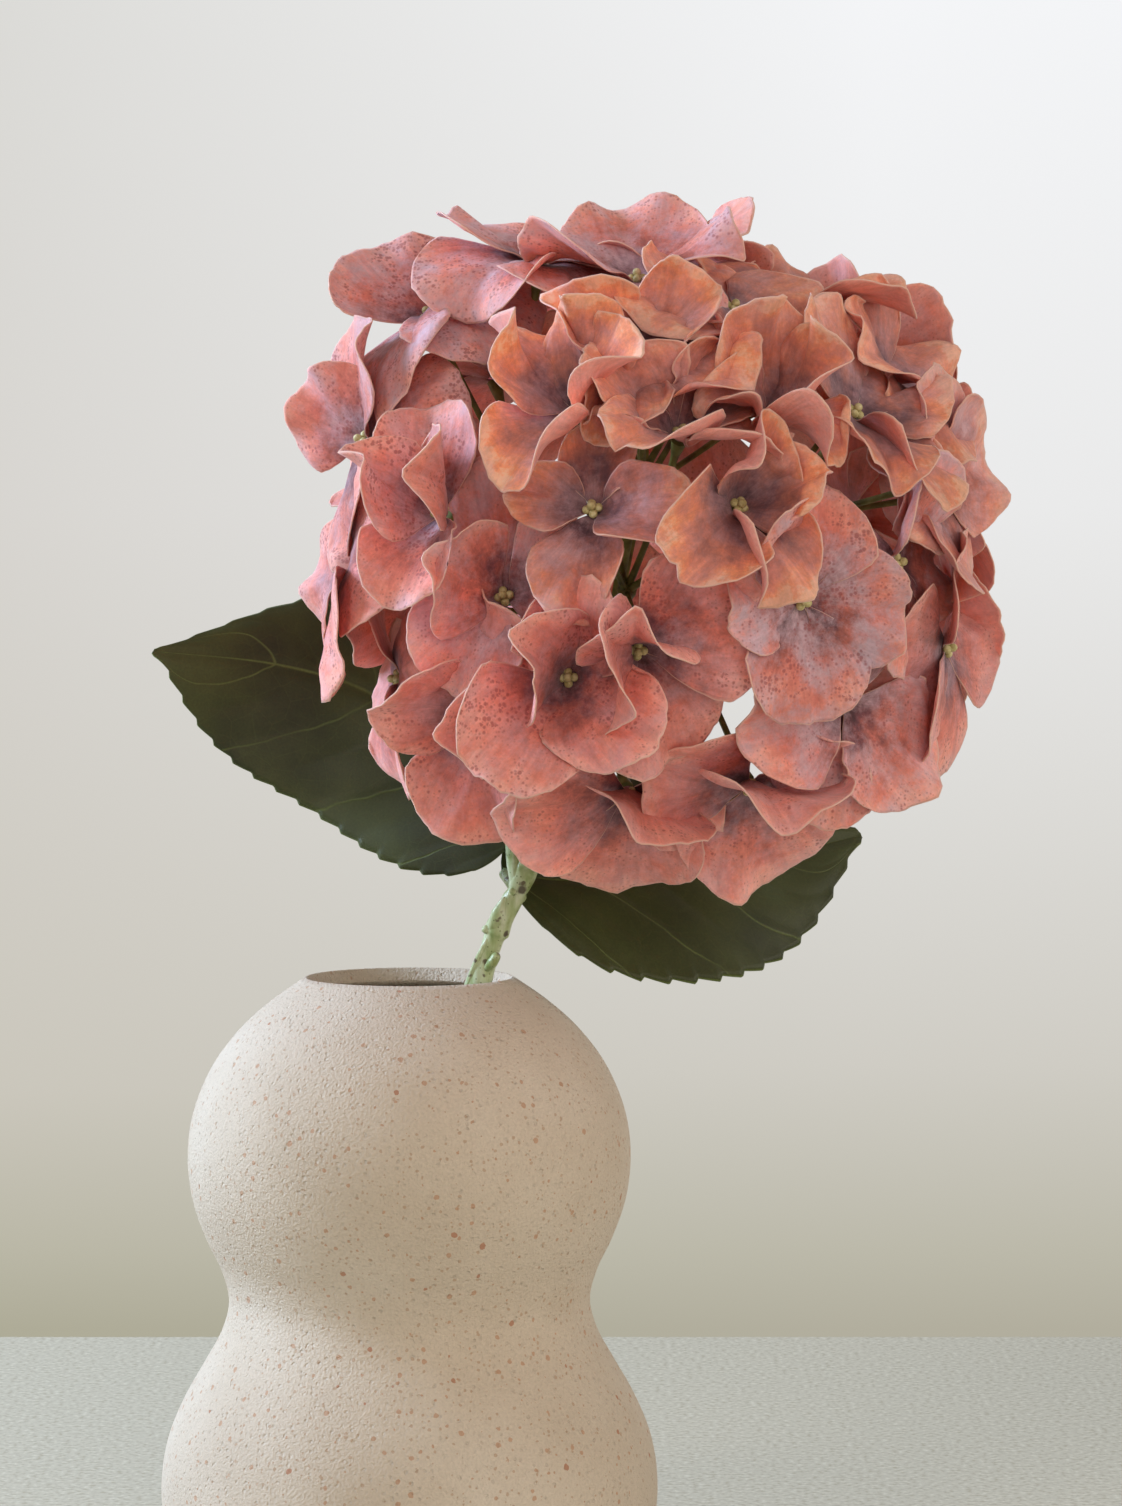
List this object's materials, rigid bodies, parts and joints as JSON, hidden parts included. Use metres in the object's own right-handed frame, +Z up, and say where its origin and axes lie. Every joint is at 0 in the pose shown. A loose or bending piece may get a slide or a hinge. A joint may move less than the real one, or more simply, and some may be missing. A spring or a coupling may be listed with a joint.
{
  "type": "hydrangea stem in a vase",
  "caption": "Round mophead hydrangea with overlapping coral petals and two toothed leaves, leaning in a hollow stoneware vase of two bulbs.",
  "frame": {"origin": "centre of the vase's foot, on the surface it stands on", "axes": "+Z up through the vase, -Y towards the front, +X the way the flower leans"},
  "size_m": [0.2119, 0.1755, 0.3538],
  "materials": {
    "stoneware": "unglazed, finely pitted, with small rust specks",
    "stem": "satin, knobbly, with brown scars",
    "leaf": "satin, pressed veins",
    "branch": "matte",
    "petal": "matte, mottled, with paler cut edges",
    "eye": "matte beads"
  },
  "bodies": {
    "root": {"branch_back_left": "branch", "branch_back_right": "branch", "branch_front": "branch", "branch_left": "branch", "branch_lower_left": "branch", "branch_lower_right": "branch", "branch_right": "branch", "branch_top": "branch", "branch_upper_front": "branch", "branch_upper_left": "branch", "branch_upper_right": "branch", "core": "branch", "floret_01": "petal", "floret_02": "petal", "floret_03": "petal", "floret_04": "petal", "floret_05": "petal", "floret_06": "petal", "floret_07": "petal", "floret_08": "petal", "floret_09": "petal", "floret_10": "petal", "floret_11": "petal", "floret_12": "petal", "floret_13": "petal", "floret_14": "petal", "floret_15": "petal", "floret_16": "petal", "floret_17": "petal", "floret_18": "petal", "floret_19": "petal", "floret_20": "petal", "floret_21": "petal", "floret_22": "petal", "floret_23": "petal", "floret_24": "petal", "floret_25": "petal", "floret_26": "petal", "floret_27": "petal", "floret_28": "petal", "floret_29": "petal", "floret_30": "petal", "floret_31": "petal", "floret_32": "petal", "floret_33": "petal", "floret_34": "petal", "floret_35": "petal", "floret_36": "petal", "floret_37": "petal", "floret_38": "petal", "floret_39": "petal", "floret_40": "petal", "floret_41": "petal", "floret_42": "petal", "floret_43": "petal", "floret_44": "petal", "leaf_left": "leaf", "leaf_right": "leaf", "stem": "stem", "vase": "stoneware"}
  },
  "joints": []
}
